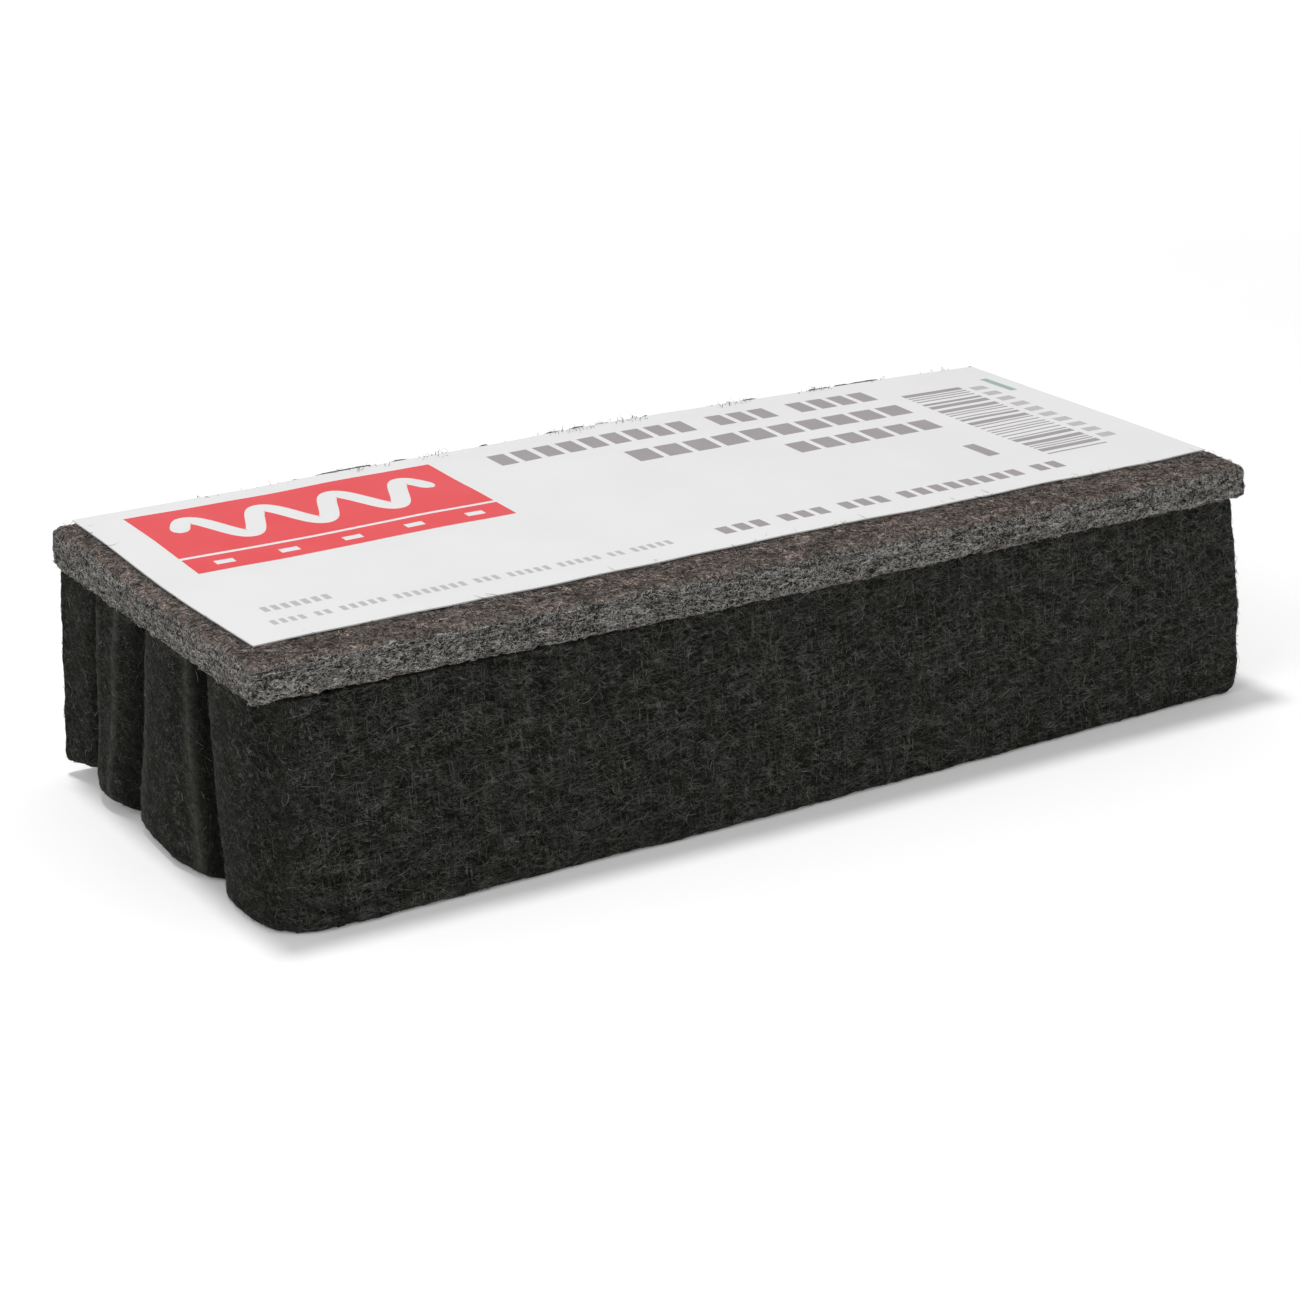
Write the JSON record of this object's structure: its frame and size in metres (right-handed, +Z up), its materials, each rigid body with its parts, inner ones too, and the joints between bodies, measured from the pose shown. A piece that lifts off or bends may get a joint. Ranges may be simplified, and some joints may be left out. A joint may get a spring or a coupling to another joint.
{
  "type": "chalkboard eraser",
  "caption": "Felt chalkboard eraser: folded black felt strips side by side under a grey felt backing with a plain paper label, for wiping chalk off a board.",
  "frame": {"origin": "centre of the wiping face, the flat lower edges of the felt plies", "axes": "+X along the eraser from the folded ends of the strips to their cut ends, +Y across it towards the side the label is flush with, +Z up through the label"},
  "size_m": [0.127, 0.0508, 0.0295],
  "materials": {
    "grey_felt": "heather grey-brown pressed wool felt",
    "black_felt": "soft black pressed felt with light stray fibres",
    "felt_glue": "dried contact cement",
    "label_adhesive": "thin dried paste",
    "label_paper": "smooth white printed paper"
  },
  "bodies": {
    "root": {"backing_felt": "grey_felt", "felt_fold_1": "black_felt", "felt_fold_2": "black_felt", "felt_fold_3": "black_felt", "felt_single_strip": "black_felt", "ply_glue_layer": "felt_glue", "label_adhesive": "label_adhesive", "label_paper": "label_paper"}
  },
  "joints": []
}
